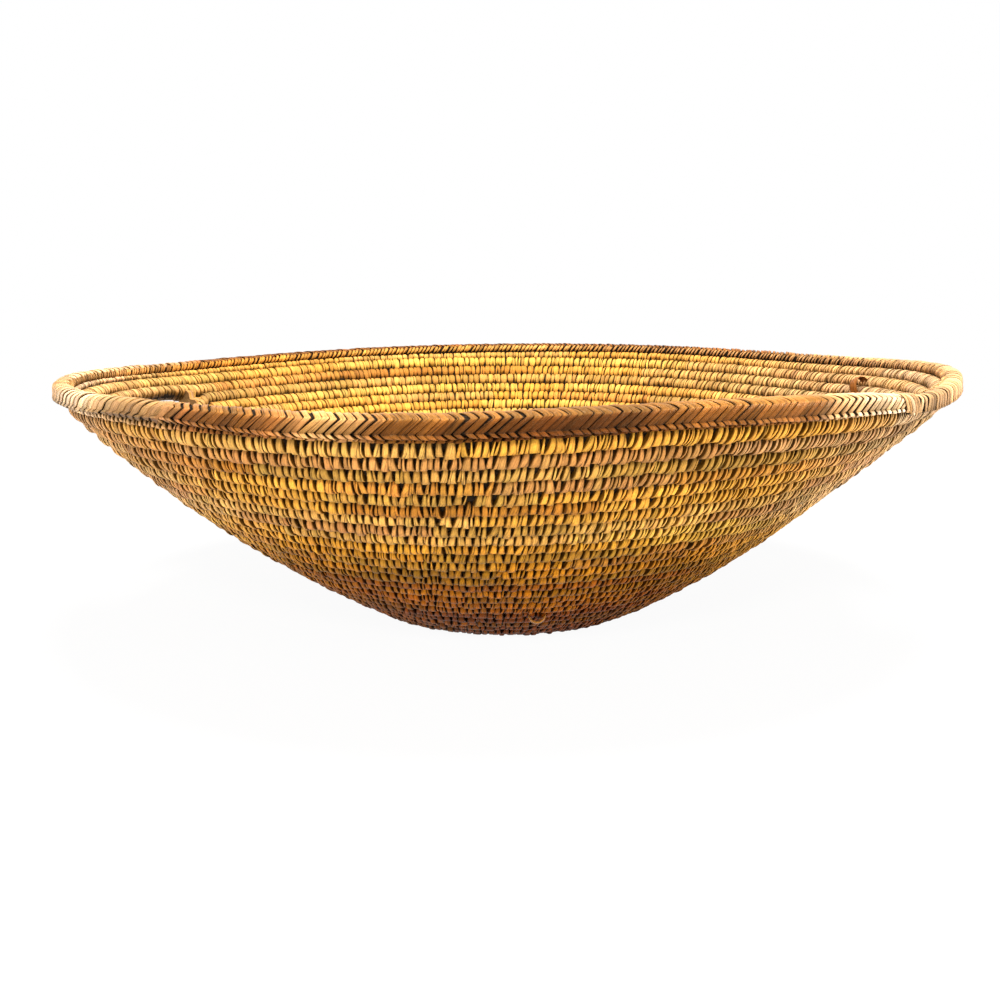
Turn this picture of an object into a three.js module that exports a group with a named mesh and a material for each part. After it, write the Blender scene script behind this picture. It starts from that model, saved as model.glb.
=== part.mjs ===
// Coiled basket tray: one long grass coil wound from the middle of a flat base up a shallow flaring wall,
// a braided rim over its last turn, and two hand slots where the coil is left unsewn below the rim.
// Millimetres, +Z up. The underside rests on z = 0 and the origin is under the middle of the basket.
// The coil is described on the wall's own profile: s runs along the wall's middle from the basket's axis
// to the rim, n runs through the wall towards the inside of the bowl, and an angle runs round the axis
// from +X towards +Y.
import * as THREE from "three";

const degrees = THREE.MathUtils.degToRad;

// Bowl
const OUTSIDE_DIAMETER = 500;
const BASE_RADIUS = 64;
const FOOT_CORNER_RADIUS = 30;
const FOOT_ANGLE = degrees(28);
const RIM_ANGLE = degrees(48);
const WALL_THICKNESS = 8.5;

// How far the uneven, hand-drawn rim stands above or below a level rim. Each value holds the curve's
// height at one of 18 even steps round the basket from -X, and the wall follows it less and less downwards.
const RIM_HEIGHTS = [
  -2.1, -1.2, -1.5, -2.8, -4.7, -0.7, 0, -2.2, 1.3, 0.5, -2.8, -1.9, 0.2, 0.7, 0.5, -1.2, -3.6, -4.4,
];
const WARP_POWER = 2.2;

// The right side of the wall is pressed in a little, most of all two thirds of the way up
const DENT_LIFT = 5;
const DENT_ANGLE = degrees(-13);
const DENT_HEIGHT_POWER = 1.6;
const DENT_NARROWNESS = 8;

// Coil
const COIL_TURNS = 32;
const COIL_GAP = 0.6;
const COIL_SHOULDER = 1.9;
const MOST_SHOULDER_SHARE = 0.3;
const COIL_END_GAP = 0.3;
const COIL_END_ANGLE = degrees(-45);
const TAIL_WIDTH = 1.3;
const TAIL_THICKNESS = 5;
const KNOT_RADIUS = 8.5;
const KNOT_GAP = 0.4;
const BASE_TURNS = 7;
const LOWER_WALL_TURNS = 11;
const HANDLE_TURNS = 3;

// Hand slots
const SLOT_LENGTH = 128;
const SLOT_OPENING = 17;
const SLOT_SETTLING_TURNS = 9;
const LEFT_SLOT_ANGLE = degrees(171);
const RIGHT_SLOT_ANGLE = degrees(-9);
const SLOT_CURVE_POWER = 3;

// Lashings that close both ends of each slot
const LASHING_LENGTH = 9;
const LASHING_FROM_END = 7;
const LASHING_OVERLAP = 4.5;
const LASHING_THICKNESS = 1.2;
const LASHING_CLEARANCE = 0.35;

// Rim
const RIM_THICKNESS = 10;
const RIM_HEIGHT = 9.4;
const RIM_CORNER = 2.8;
const RIM_SEAT = 3.4;
const RIM_BRAID_WALL = 1.3;
const RIM_COIL_CLEARANCE = 0.5;
const RIM_GAP = 0.6;
const RIM_END_GAP = 2;
const RIM_END_LIFT = 1.2;
const RIM_STEPS = 72;
const BINDING_LENGTH = 13;
const BINDING_THICKNESS = 1;
const BINDING_CLEARANCE = 0.4;
const BINDING_OUTER_DROP = 2.5;
const BINDING_INNER_DROP = 0.4;

// Two sewing splints that have sprung loose
const SPLINT_WIDTH = 3.2;
const SPLINT_THICKNESS = 0.9;
const SPLINT_STEPS = 10;
const SPLINT_SEAT_GAP = 0.3;
const CURL_RADIUS = 5.5;
const CURL_ANGLE = degrees(11);
const CURL_TURNS_BELOW_RIM = 2.9;
const CURL_LEAN = degrees(60);
const LOOP_RADIUS = 4.5;
const LOOP_ANGLE = degrees(-80);
const LOOP_TURNS_BELOW_RIM = 20.4;
const LOOP_LEAN = degrees(15);

// Points round one turn of the coil: segments on the far side and on the near side between the slots
const FAR_SEGMENTS = 10;
const NEAR_SEGMENTS = 9;
const SLOT_POINTS = [-1, 0, 1];
const SLOT_FINE_POINTS = [-1, -0.5, 0, 0.5, 1];
const LEAST_ALLOWED_GAP = 0.4;
const TURN_TOLERANCE = 1e-6;
const FULL_TURN = 2 * Math.PI;

// A 45 degree chamfer gets this much smaller for each millimetre that its section is inset
const CHAMFER_EASE = 2 - Math.SQRT2;

// Profile of the wall's middle: flat base, foot corner arc, then one long arc up to the rim
const RIM_RADIUS = OUTSIDE_DIAMETER / 2 - RIM_THICKNESS / 2;
const FOOT_RADIUS = BASE_RADIUS + FOOT_CORNER_RADIUS * Math.sin(FOOT_ANGLE);
const FOOT_RISE = FOOT_CORNER_RADIUS * (1 - Math.cos(FOOT_ANGLE));
const FOOT_END = BASE_RADIUS + FOOT_CORNER_RADIUS * FOOT_ANGLE;
const WALL_ARC_RADIUS = (RIM_RADIUS - FOOT_RADIUS) / (Math.sin(RIM_ANGLE) - Math.sin(FOOT_ANGLE));
const RIM_S = FOOT_END + WALL_ARC_RADIUS * (RIM_ANGLE - FOOT_ANGLE);
const COIL_EDGE_S = RIM_S - RIM_SEAT - RIM_GAP;
const PITCH = (COIL_EDGE_S - KNOT_RADIUS) / COIL_TURNS;
const SLOT_TURN = COIL_TURNS - HANDLE_TURNS;

function profileAt(s) {
  if (s <= BASE_RADIUS) {
    return { radius: s, height: 0, angle: 0 };
  }
  if (s <= FOOT_END) {
    const angle = (s - BASE_RADIUS) / FOOT_CORNER_RADIUS;
    const radius = BASE_RADIUS + FOOT_CORNER_RADIUS * Math.sin(angle);
    return { radius, height: FOOT_CORNER_RADIUS * (1 - Math.cos(angle)), angle };
  }
  const angle = FOOT_ANGLE + (s - FOOT_END) / WALL_ARC_RADIUS;
  const radius = FOOT_RADIUS + WALL_ARC_RADIUS * (Math.sin(angle) - Math.sin(FOOT_ANGLE));
  const height = FOOT_RISE + WALL_ARC_RADIUS * (Math.cos(FOOT_ANGLE) - Math.cos(angle));
  return { radius, height, angle };
}

// The rim's height at an angle: a smooth curve through the basket's round, drawn by four values at a time
function rimHeightAt(turnAngle) {
  const count = RIM_HEIGHTS.length;
  const step = ((turnAngle + Math.PI) / FULL_TURN) * count;
  const t = step - Math.floor(step);
  const value = (i) => RIM_HEIGHTS[(((Math.floor(step) + i) % count) + count) % count];
  const before = value(-1) * (1 - t) ** 3;
  const from = value(0) * (3 * t ** 3 - 6 * t ** 2 + 4);
  const to = value(1) * (3 * t ** 2 - 3 * t ** 3 + 3 * t + 1);
  const after = value(2) * t ** 3;
  return (before + from + to + after) / 6;
}

function warpAt(s, turnAngle) {
  const share = Math.max(0, (s - FOOT_END) / (RIM_S - FOOT_END));
  const acrossDent = Math.max(0, Math.cos(turnAngle - DENT_ANGLE)) ** DENT_NARROWNESS;
  const upDent = Math.sin(Math.PI * Math.min(1, share) ** DENT_HEIGHT_POWER) ** 2;
  return rimHeightAt(turnAngle) * share ** WARP_POWER + DENT_LIFT * acrossDent * upDent;
}

// The point at s along the wall and n through it, at an angle round the basket
function place(s, n, turnAngle) {
  const { radius, height, angle } = profileAt(s);
  const outward = radius - n * Math.sin(angle);
  const up = WALL_THICKNESS / 2 + height + n * Math.cos(angle) + warpAt(s, turnAngle);
  return new THREE.Vector3(outward * Math.cos(turnAngle), outward * Math.sin(turnAngle), up);
}

// Turn numbers count from the middle of the base, and whole numbers lie at the coil's end angle
function angleOfTurn(turn) {
  return COIL_END_ANGLE + (turn - COIL_TURNS) * FULL_TURN;
}

function turnShare(angle) {
  const share = (angle - COIL_END_ANGLE) / FULL_TURN;
  return share - Math.floor(share);
}

function slotHalfAngle() {
  const middle = profileAt(KNOT_RADIUS + PITCH * (SLOT_TURN + 0.5));
  return SLOT_LENGTH / 2 / middle.radius;
}

// How open a slot is at an angle, from 0 at its ends to 1 at its middle
function slotOpenness(turnAngle) {
  return [LEFT_SLOT_ANGLE, RIGHT_SLOT_ANGLE].reduce((most, slotAngle) => {
    const away = Math.atan2(Math.sin(turnAngle - slotAngle), Math.cos(turnAngle - slotAngle));
    const u = Math.min(1, Math.abs(away) / slotHalfAngle());
    return Math.max(most, 1 - u ** SLOT_CURVE_POWER);
  }, 0);
}

// The coil below a slot sags towards the base, less and less from turn to turn
function slotSag(turn, edgeTurnsLower) {
  if (turn > SLOT_TURN + TURN_TOLERANCE) {
    return 0;
  }
  const turnsBelow = Math.floor(SLOT_TURN - turn + TURN_TOLERANCE) + edgeTurnsLower;
  const share = Math.max(0, 1 - turnsBelow / SLOT_SETTLING_TURNS);
  return SLOT_OPENING * share * slotOpenness(angleOfTurn(turn));
}

// The coil's last turn tapers under the rim, from 0 where it starts to 1 at its end
function taperAt(turn) {
  return Math.max(0, turn - (COIL_TURNS - 1));
}

// The coil's inner and outer edge on the profile at a turn
function coilEdges(turn) {
  const inner = KNOT_RADIUS + PITCH * turn;
  const width = PITCH + (TAIL_WIDTH - PITCH) * taperAt(turn);
  return { inner: inner - slotSag(turn, 1), outer: inner + width - slotSag(turn, 0) };
}

// The wound coil's six-sided section, flat on the inside and outside of the bowl
function coilSection(turn) {
  const { inner, outer } = coilEdges(turn);
  const low = inner + COIL_GAP / 2;
  const high = outer - COIL_GAP / 2;
  const shoulder = Math.min(COIL_SHOULDER, (high - low) * MOST_SHOULDER_SHARE);
  const half = (WALL_THICKNESS + (TAIL_THICKNESS - WALL_THICKNESS) * taperAt(turn)) / 2;
  return [
    [low, 0],
    [low + shoulder, -half],
    [high - shoulder, -half],
    [high, 0],
    [high - shoulder, half],
    [low + shoulder, half],
  ];
}

// The shares of a turn at which every coil has its points, so that neighbouring turns nest
function turnShares(slotPoints) {
  const half = slotHalfAngle();
  const slotEnds = (slotAngle) => slotPoints.map((u) => slotAngle + u * half);
  const farArc = LEFT_SLOT_ANGLE - RIGHT_SLOT_ANGLE - 2 * half;
  const nearArc = COIL_END_ANGLE + FULL_TURN - LEFT_SLOT_ANGLE - half;
  const far = Array.from(
    { length: FAR_SEGMENTS - 1 },
    (_, i) => RIGHT_SLOT_ANGLE + half + (farArc * (i + 1)) / FAR_SEGMENTS,
  );
  const near = Array.from(
    { length: NEAR_SEGMENTS - 1 },
    (_, i) => LEFT_SLOT_ANGLE + half + (nearArc * (i + 1)) / NEAR_SEGMENTS,
  );
  const angles = [...slotEnds(RIGHT_SLOT_ANGLE), ...far, ...slotEnds(LEFT_SLOT_ANGLE), ...near];
  return [0, ...angles.map(turnShare)].sort((a, b) => a - b);
}

const COARSE_SHARES = turnShares(SLOT_POINTS);
const FINE_SHARES = turnShares(SLOT_FINE_POINTS);
const BASE_SHARES = COARSE_SHARES.filter((_, i) => i % 2 === 0);

// A closed mesh through rings of points. Each ring holds the same loops, and the end faces are triangles
// of ring points.
function closedTube(rings, loopSizes, endFaces) {
  const ringSize = rings[0].length;
  const positions = rings.flat().flatMap((point) => [point.x, point.y, point.z]);
  const index = [];
  for (let ring = 0; ring + 1 < rings.length; ring++) {
    let loopStart = ring * ringSize;
    for (const size of loopSizes) {
      for (let i = 0; i < size; i++) {
        const a = loopStart + i;
        const b = loopStart + ((i + 1) % size);
        index.push(a, b, b + ringSize, a, b + ringSize, a + ringSize);
      }
      loopStart += size;
    }
  }
  const last = (rings.length - 1) * ringSize;
  for (const [a, b, c] of endFaces) {
    index.push(a, c, b, last + a, last + b, last + c);
  }
  return facingOut(positions, index);
}

// Turns every face round where the mesh would be inside out
function facingOut(positions, index) {
  const corner = (i) => new THREE.Vector3().fromArray(positions, 3 * index[i]);
  let volume = 0;
  for (let i = 0; i < index.length; i += 3) {
    volume += corner(i).dot(corner(i + 1).cross(corner(i + 2)));
  }
  if (volume < 0) {
    index.reverse();
  }
  const geometry = new THREE.BufferGeometry();
  geometry.setAttribute("position", new THREE.Float32BufferAttribute(positions, 3));
  geometry.setIndex(index);
  return geometry;
}

function endFacesOf(outline, holes = []) {
  const vectors = (points) => points.map(([x, y]) => new THREE.Vector2(x, y));
  return THREE.ShapeUtils.triangulateShape(vectors(outline), holes.map(vectors));
}

// The least distance from any turn of a tube to the turns beside it, from its own ring points and the
// points halfway between rings
function leastGap(rings, ringsPerTurn) {
  const samples = [];
  rings.forEach((ring, i) => {
    ring.forEach((point, j) => {
      samples.push({ at: i, point });
      if (i + 1 < rings.length) {
        samples.push({ at: i + 0.5, point: point.clone().lerp(rings[i + 1][j], 0.5) });
      }
    });
  });
  let least = Infinity;
  for (let i = 0; i < samples.length; i++) {
    for (let j = i + 1; j < samples.length; j++) {
      if (Math.abs(samples[j].at - samples[i].at) > ringsPerTurn / 2) {
        least = Math.min(least, samples[i].point.distanceTo(samples[j].point));
      }
    }
  }
  return least;
}

// One unbroken length of the coil between two turn numbers
function coilGeometry(name, firstTurn, lastTurn, shares) {
  const endShift = (turn) => {
    const { inner } = coilEdges(turn);
    return COIL_END_GAP / 2 / (FULL_TURN * profileAt(inner + PITCH / 2).radius);
  };
  const turns = [firstTurn + endShift(firstTurn)];
  for (let whole = firstTurn; whole < lastTurn; whole++) {
    turns.push(...shares.map((share) => whole + share).filter((turn) => turn > firstTurn));
  }
  turns.push(lastTurn - endShift(lastTurn));
  const rings = turns.map((turn) => coilSection(turn).map(([s, n]) => place(s, n, angleOfTurn(turn))));
  const gap = leastGap(rings, shares.length);
  const enough = gap > LEAST_ALLOWED_GAP ? "enough" : "too small";
  console.log(`${name}: ${lastTurn - firstTurn} turns, least gap ${gap.toFixed(2)} mm, ${enough}`);
  const section = coilSection(firstTurn);
  return closedTube(rings, [section.length], endFacesOf(section));
}

// The start of the coil, wound too tightly to show its turns: a snail-shaped button
function knotGeometry() {
  const stepGap = COIL_END_GAP / (FULL_TURN * KNOT_RADIUS);
  const shares = [...BASE_SHARES, 1 - stepGap];
  const levels = [
    { height: 0, inset: COIL_SHOULDER },
    { height: WALL_THICKNESS / 2, inset: 0 },
    { height: WALL_THICKNESS, inset: COIL_SHOULDER },
  ];
  const rings = levels.map(({ height, inset }) =>
    shares.map((share) => {
      const angle = COIL_END_ANGLE + share * FULL_TURN;
      const reach = KNOT_RADIUS + PITCH * share - KNOT_GAP - inset;
      return new THREE.Vector3(reach * Math.cos(angle), reach * Math.sin(angle), height);
    }),
  );
  const outline = rings[0].map((point) => [point.x, point.y]);
  return closedTube(rings, [outline.length], endFacesOf(outline));
}

// A point of the rim: x outward and y up from the middle of its upright section
function placeOnRim([x, y], share) {
  const angle = COIL_END_ANGLE + share * FULL_TURN;
  const radius = RIM_RADIUS + x;
  const middle = WALL_THICKNESS / 2 + profileAt(RIM_S).height + warpAt(RIM_S, angle);
  const up = middle + y + RIM_END_LIFT * share;
  return new THREE.Vector3(radius * Math.cos(angle), radius * Math.sin(angle), up);
}

// The rim's section. Its underside is cut square to the wall that it sits on.
function rimSection(inset) {
  const a = RIM_THICKNESS / 2 - inset;
  const b = RIM_HEIGHT / 2 - inset;
  const c = RIM_CORNER - inset * CHAMFER_EASE;
  const seat = RIM_SEAT - inset;
  return [
    [a, c - b],
    [a, b - c],
    [a - c, b],
    [c - a, b],
    [-a, b - c],
    [-a, (a * Math.cos(RIM_ANGLE) - seat) / Math.sin(RIM_ANGLE)],
    [(b * Math.sin(RIM_ANGLE) - seat) / Math.cos(RIM_ANGLE), -b],
    [a - c, -b],
  ];
}

// The rim runs once round the basket, open by a small gap where its two ends meet
function rimShares() {
  const endShare = RIM_END_GAP / 2 / (FULL_TURN * RIM_RADIUS);
  const inner = Array.from({ length: RIM_STEPS - 1 }, (_, i) => (i + 1) / RIM_STEPS);
  return [endShare, ...inner, 1 - endShare];
}

function rimBraidGeometry() {
  const outside = rimSection(0);
  const bore = rimSection(RIM_BRAID_WALL);
  const points = [...outside, ...bore];
  const rings = rimShares().map((share) => points.map((point) => placeOnRim(point, share)));
  return closedTubeWithBore(rings, outside, bore);
}

// A bore's faces look the other way round from the outside faces
function closedTubeWithBore(rings, outside, bore) {
  const turned = rings.map((ring) => {
    const boreRing = ring.slice(outside.length).reverse();
    return [...ring.slice(0, outside.length), ...boreRing];
  });
  const boreReversed = [...bore].reverse();
  return closedTube(turned, [outside.length, bore.length], endFacesOf(outside, [boreReversed]));
}

function rimCoilGeometry() {
  const section = rimSection(RIM_BRAID_WALL + RIM_COIL_CLEARANCE);
  const rings = rimShares().map((share) => section.map((point) => placeOnRim(point, share)));
  return closedTube(rings, [section.length], endFacesOf(section));
}

// The saddle of plain splint that covers the meeting ends of the braid, which stand at unlike heights
function bindingGeometry() {
  const step = RIM_END_LIFT / 2;
  const arch = (grow) => {
    const a = RIM_THICKNESS / 2 + grow;
    const b = RIM_HEIGHT / 2 + grow + step;
    return [
      [a, -BINDING_OUTER_DROP],
      [a, b - RIM_CORNER],
      [a - RIM_CORNER, b],
      [RIM_CORNER - a, b],
      [-a, b - RIM_CORNER],
      [-a, -BINDING_INNER_DROP],
    ];
  };
  const outline = [...arch(BINDING_CLEARANCE + BINDING_THICKNESS), ...arch(BINDING_CLEARANCE).reverse()];
  const endShare = BINDING_LENGTH / 2 / (FULL_TURN * RIM_RADIUS);
  const rings = [-endShare, endShare].map((share) =>
    outline.map(([x, y]) => placeOnRim([x, y + step], share)),
  );
  return closedTube(rings, [outline.length], endFacesOf(outline));
}

// A coil runs straight between its own points. This gives a point on that straight stretch.
function onStretch(turn, pointAt) {
  const whole = Math.floor(turn);
  const shares = [...FINE_SHARES, 1];
  const after = shares.findIndex((share) => share > turn - whole);
  const [from, to] = [whole + shares[after - 1], whole + shares[after]];
  return pointAt(from).lerp(pointAt(to), (turn - from) / (to - from));
}

// Splint wound round the two turns beside a slot, just inside the slot's end. Its section is an I:
// a web that fills the end of the slot, and a flange over both turns inside and outside the bowl.
function lashingGeometry(slotAngle, side) {
  const slotTurn = SLOT_TURN + turnShare(slotAngle);
  const outlineAt = (turn) => {
    const upper = coilEdges(turn).inner + COIL_GAP / 2;
    const lower = coilEdges(turn - 1).outer - COIL_GAP / 2;
    const face = WALL_THICKNESS / 2 + LASHING_CLEARANCE;
    const skin = face + LASHING_THICKNESS;
    const high = upper + LASHING_OVERLAP;
    const low = lower - LASHING_OVERLAP;
    const webHigh = upper - LASHING_CLEARANCE;
    const webLow = lower + LASHING_CLEARANCE;
    return [
      [low, -face],
      [low, -skin],
      [high, -skin],
      [high, -face],
      [webHigh, -face],
      [webHigh, face],
      [high, face],
      [high, skin],
      [low, skin],
      [low, face],
      [webLow, face],
      [webLow, -face],
    ];
  };
  const radius = profileAt(coilEdges(slotTurn).inner).radius;
  const fromMiddle = (away) => slotTurn + (side * away) / (FULL_TURN * radius);
  const ends = [
    fromMiddle(SLOT_LENGTH / 2 - LASHING_FROM_END),
    fromMiddle(SLOT_LENGTH / 2 - LASHING_FROM_END - LASHING_LENGTH),
  ];
  const outline = outlineAt(ends[0]);
  const rings = ends.map((turn) =>
    outline.map((_, i) =>
      onStretch(turn, (station) => {
        const [s, n] = outlineAt(station)[i];
        return place(s, n, angleOfTurn(station));
      }),
    ),
  );
  return closedTube(rings, [outline.length], endFacesOf(outline));
}

// A splint that stands off the wall as a small arch. It rises from the face on the given side of the
// wall: 1 is the inside of the bowl and -1 the outside.
function archGeometry(turn, radius, side, lean) {
  const angle = angleOfTurn(turn);
  const coilMiddle = (station) => {
    const { inner, outer } = coilEdges(station);
    return (inner + outer) / 2;
  };
  const seat = side * (WALL_THICKNESS / 2 + SPLINT_SEAT_GAP);
  const foot = onStretch(turn, (station) => place(coilMiddle(station), seat, angleOfTurn(station)));
  const slope = profileAt(coilMiddle(turn)).angle;
  const round = new THREE.Vector3(-Math.sin(angle), Math.cos(angle), 0);
  const radial = new THREE.Vector3(Math.cos(angle), Math.sin(angle), 0);
  const up = new THREE.Vector3(0, 0, 1);
  const along = radial.clone().multiplyScalar(Math.cos(slope)).addScaledVector(up, Math.sin(slope));
  const off = radial.clone().multiplyScalar(-side * Math.sin(slope));
  off.addScaledVector(up, side * Math.cos(slope));
  const run = along.clone().multiplyScalar(Math.cos(lean)).addScaledVector(round, Math.sin(lean));
  const across = run.clone().cross(off).normalize();
  const half = SPLINT_WIDTH / 2;
  const inner = radius - SPLINT_THICKNESS;
  const rings = Array.from({ length: SPLINT_STEPS + 1 }, (_, i) => {
    const phi = (Math.PI * i) / SPLINT_STEPS;
    const outward = run.clone().multiplyScalar(-Math.cos(phi)).addScaledVector(off, Math.sin(phi));
    const corner = (reach, width) =>
      foot.clone().addScaledVector(outward, reach).addScaledVector(across, width);
    return [corner(inner, -half), corner(radius, -half), corner(radius, half), corner(inner, half)];
  });
  const faces = [
    [0, 1, 2],
    [0, 2, 3],
  ];
  return closedTube(rings, [4], faces);
}

const STRAW = new THREE.MeshStandardMaterial({ color: 0xc79a52, roughness: 0.7, metalness: 0 });
const GOLDEN_STRAW = new THREE.MeshStandardMaterial({ color: 0xd9a848, roughness: 0.65, metalness: 0 });
const PALE_STRAW = new THREE.MeshStandardMaterial({ color: 0xcdb07c, roughness: 0.7, metalness: 0 });
const BARK_BROWN = new THREE.MeshStandardMaterial({ color: 0x8d6434, roughness: 0.6, metalness: 0 });
const DARK_GRASS = new THREE.MeshStandardMaterial({ color: 0x5e4426, roughness: 0.9, metalness: 0 });

const basket = new THREE.Group();

function add(name, geometry, material) {
  const mesh = new THREE.Mesh(geometry, material);
  mesh.name = name;
  basket.add(mesh);
}

const WALL_START = BASE_TURNS;
const UPPER_WALL_START = WALL_START + LOWER_WALL_TURNS;

add("starting_knot", knotGeometry(), STRAW);
add("base_coil", coilGeometry("base_coil", 0, WALL_START, BASE_SHARES), STRAW);
add(
  "lower_wall_coil",
  coilGeometry("lower_wall_coil", WALL_START, UPPER_WALL_START, COARSE_SHARES),
  GOLDEN_STRAW,
);
add(
  "upper_wall_coil",
  coilGeometry("upper_wall_coil", UPPER_WALL_START, SLOT_TURN, FINE_SHARES),
  STRAW,
);
add("handle_coil", coilGeometry("handle_coil", SLOT_TURN, COIL_TURNS, FINE_SHARES), GOLDEN_STRAW);
add("rim_coil", rimCoilGeometry(), DARK_GRASS);
add("rim_braid", rimBraidGeometry(), BARK_BROWN);
add("rim_end_binding", bindingGeometry(), PALE_STRAW);

const slots = { left: LEFT_SLOT_ANGLE, right: RIGHT_SLOT_ANGLE };
for (const [slotName, slotAngle] of Object.entries(slots)) {
  const towardsFront = slotName === "left" ? 1 : -1;
  add(`${slotName}_slot_front_lashing`, lashingGeometry(slotAngle, towardsFront), PALE_STRAW);
  add(`${slotName}_slot_back_lashing`, lashingGeometry(slotAngle, -towardsFront), PALE_STRAW);
}

const turnBelowRim = (angle, turns) => Math.floor(COIL_TURNS - turns) + turnShare(angle);
const curlTurn = turnBelowRim(CURL_ANGLE, CURL_TURNS_BELOW_RIM);
const loopTurn = turnBelowRim(LOOP_ANGLE, LOOP_TURNS_BELOW_RIM);
add("loose_splint_curl", archGeometry(curlTurn, CURL_RADIUS, 1, CURL_LEAN), BARK_BROWN);
add("raised_splint_loop", archGeometry(loopTurn, LOOP_RADIUS, -1, LOOP_LEAN), PALE_STRAW);

export default basket;
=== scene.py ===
import math

import bpy
import numpy as np
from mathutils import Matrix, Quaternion, Vector


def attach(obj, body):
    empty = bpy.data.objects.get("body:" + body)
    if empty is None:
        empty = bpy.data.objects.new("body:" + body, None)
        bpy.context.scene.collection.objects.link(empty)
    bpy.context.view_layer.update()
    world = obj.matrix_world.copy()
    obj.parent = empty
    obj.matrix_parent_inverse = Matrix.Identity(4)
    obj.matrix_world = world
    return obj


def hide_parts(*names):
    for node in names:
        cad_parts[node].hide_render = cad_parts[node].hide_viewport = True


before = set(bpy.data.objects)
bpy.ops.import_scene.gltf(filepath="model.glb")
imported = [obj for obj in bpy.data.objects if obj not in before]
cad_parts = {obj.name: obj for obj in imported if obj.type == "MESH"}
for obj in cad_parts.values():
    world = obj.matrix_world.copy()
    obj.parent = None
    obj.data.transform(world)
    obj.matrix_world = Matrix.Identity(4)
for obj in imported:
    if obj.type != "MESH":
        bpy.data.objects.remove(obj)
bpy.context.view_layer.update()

# The basket's measures are in millimetres, as in the part's source. Finished points are put in metres.
METRES = 0.001
FULL_TURN = 2 * math.pi

# Camera, from the outline of the basket in the photograph
PICTURE_PIXELS = 1000
SENSOR_WIDTH = 36
FOCAL_PIXELS = 1150
CAMERA_DISTANCE = 691
CAMERA_ELEVATION = 0.181
CAMERA_ROLL = -0.007
CAMERA_AIM = (-4.2, 0.0, 62.0)

# Bowl, coil, slots and rim, as in the part's source
BASE_RADIUS = 64
FOOT_CORNER_RADIUS = 30
FOOT_ANGLE = math.radians(28)
RIM_ANGLE = math.radians(48)
WALL_THICKNESS = 8.5
RIM_HEIGHTS = [
    -2.1, -1.2, -1.5, -2.8, -4.7, -0.7, 0, -2.2, 1.3, 0.5, -2.8, -1.9, 0.2, 0.7, 0.5, -1.2, -3.6, -4.4,
]
WARP_POWER = 2.2
DENT_LIFT = 5
DENT_ANGLE = math.radians(-13)
DENT_HEIGHT_POWER = 1.6
DENT_NARROWNESS = 8
COIL_TURNS = 32
COIL_END_ANGLE = math.radians(-45)
TAIL_WIDTH = 1.3
TAIL_THICKNESS = 5
KNOT_RADIUS = 8.5
BASE_TURNS = 7
LOWER_WALL_TURNS = 11
HANDLE_TURNS = 3
SLOT_LENGTH = 128
SLOT_OPENING = 17
SLOT_SETTLING_TURNS = 9
LEFT_SLOT_ANGLE = math.radians(171)
RIGHT_SLOT_ANGLE = math.radians(-9)
SLOT_CURVE_POWER = 3
LASHING_LENGTH = 9
LASHING_FROM_END = 7
RIM_RADIUS = 245
RIM_SEAT = 3.4
RIM_GAP = 0.6
RIM_END_LIFT = 1.2
BINDING_LENGTH = 13
CURL_ANGLE = math.radians(11)
CURL_TURNS_BELOW_RIM = 2.9
LOOP_RADIUS = 4.5
LOOP_TURNS_BELOW_RIM = 20.4

FOOT_RADIUS = BASE_RADIUS + FOOT_CORNER_RADIUS * math.sin(FOOT_ANGLE)
FOOT_RISE = FOOT_CORNER_RADIUS * (1 - math.cos(FOOT_ANGLE))
FOOT_END = BASE_RADIUS + FOOT_CORNER_RADIUS * FOOT_ANGLE
WALL_ARC_RADIUS = (RIM_RADIUS - FOOT_RADIUS) / (math.sin(RIM_ANGLE) - math.sin(FOOT_ANGLE))
RIM_S = FOOT_END + WALL_ARC_RADIUS * (RIM_ANGLE - FOOT_ANGLE)
COIL_EDGE_S = RIM_S - RIM_SEAT - RIM_GAP
PITCH = (COIL_EDGE_S - KNOT_RADIUS) / COIL_TURNS
LOWER_WALL_END = BASE_TURNS + LOWER_WALL_TURNS
SLOT_TURN = COIL_TURNS - HANDLE_TURNS
TURN_TOLERANCE = 1e-6
# No point lies lower than this
LEAST_HEIGHT = 0.03

rng = np.random.default_rng(41)


def profile(s):
    """Radius, height and slope of the wall's middle at a distance s along it."""
    s = np.asarray(s, float)
    corner = np.clip((s - BASE_RADIUS) / FOOT_CORNER_RADIUS, 0, FOOT_ANGLE)
    slope = np.where(s > FOOT_END, FOOT_ANGLE + (s - FOOT_END) / WALL_ARC_RADIUS, corner)
    foot_radius = np.minimum(s, BASE_RADIUS) + FOOT_CORNER_RADIUS * np.sin(corner)
    foot_height = FOOT_CORNER_RADIUS * (1 - np.cos(corner))
    wall_radius = FOOT_RADIUS + WALL_ARC_RADIUS * (np.sin(slope) - math.sin(FOOT_ANGLE))
    wall_height = FOOT_RISE + WALL_ARC_RADIUS * (math.cos(FOOT_ANGLE) - np.cos(slope))
    on_wall = s > FOOT_END
    return (
        np.where(on_wall, wall_radius, foot_radius),
        np.where(on_wall, wall_height, foot_height),
        slope,
    )


def rim_height(angle):
    """A smooth curve round the basket, drawn by four of the rim's heights at a time."""
    heights = np.array(RIM_HEIGHTS, float)
    step = (np.asarray(angle, float) + math.pi) / FULL_TURN * len(heights)
    first = np.floor(step).astype(int)
    t = step - first
    weights = ((1 - t) ** 3, 3 * t**3 - 6 * t**2 + 4, 3 * t**2 - 3 * t**3 + 3 * t + 1, t**3)
    return sum(heights[(first + i - 1) % len(heights)] * weight for i, weight in enumerate(weights)) / 6


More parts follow.
